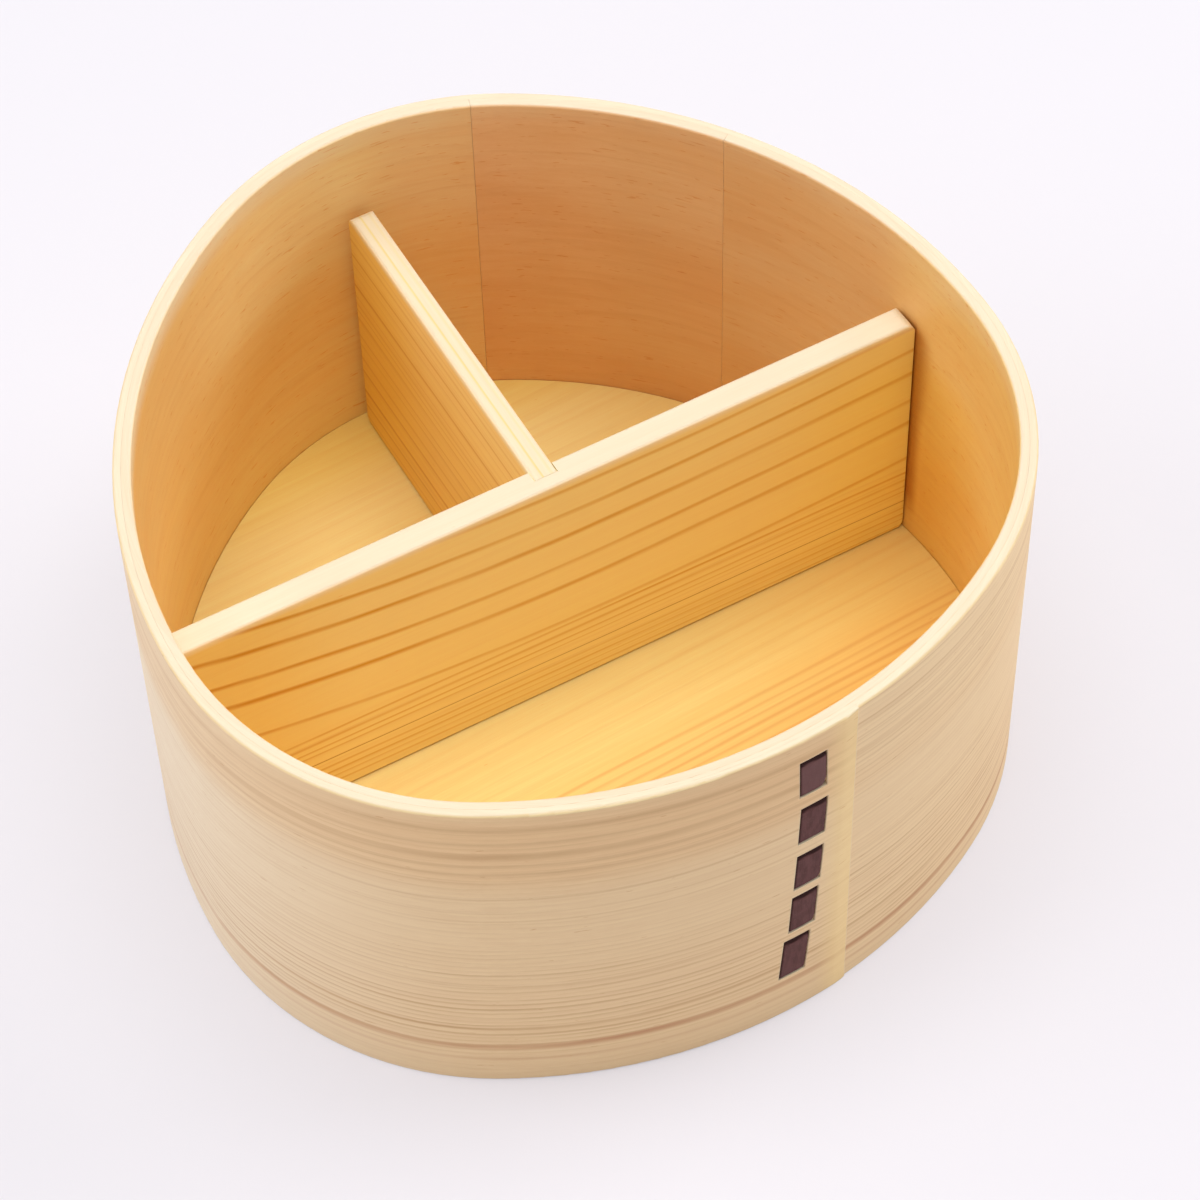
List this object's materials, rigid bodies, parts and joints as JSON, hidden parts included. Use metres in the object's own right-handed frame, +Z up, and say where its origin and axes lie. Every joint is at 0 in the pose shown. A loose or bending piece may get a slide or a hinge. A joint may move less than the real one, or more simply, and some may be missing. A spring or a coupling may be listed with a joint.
{
  "type": "bento box",
  "caption": "Open bent-wood bento box, a rounded triangle in plan, with a bark-laced lap in its side and lift-out dividers that part it into food compartments.",
  "frame": {"origin": "middle of the base, on the plane that the box rests on", "axes": "+X along the long divider to the right, +Y to the rounded apex at the back, +Z up; the laced lap is on the front side, which faces -Y"},
  "size_m": [0.14, 0.1403, 0.074],
  "materials": {
    "outer_wood": "planed bare softwood, matt",
    "inner_wood": "clear-coated softwood, satin",
    "splice_wood": "clear-coated softwood, satin",
    "floor_wood": "clear-coated softwood, satin",
    "bark": "polished bark, semi-gloss",
    "long_board_wood": "clear-coated softwood, satin",
    "short_board_wood": "clear-coated softwood, satin"
  },
  "bodies": {
    "box": {"outer_band": "outer_wood", "inner_band": "inner_wood", "inner_splice": "splice_wood", "bottom_board": "floor_wood", "bark_lacing": "bark"},
    "long_divider": {"long_divider": "long_board_wood"},
    "short_divider": {"short_divider": "short_board_wood"}
  },
  "joints": [
    {"name": "long_divider_lift", "type": "slide", "parent": "box", "child": "long_divider", "axis": [0, 0, 1], "range_m": [0, 0.075]},
    {"name": "short_divider_lift", "type": "slide", "parent": "box", "child": "short_divider", "axis": [0, 0, 1], "range_m": [0, 0.075]}
  ]
}
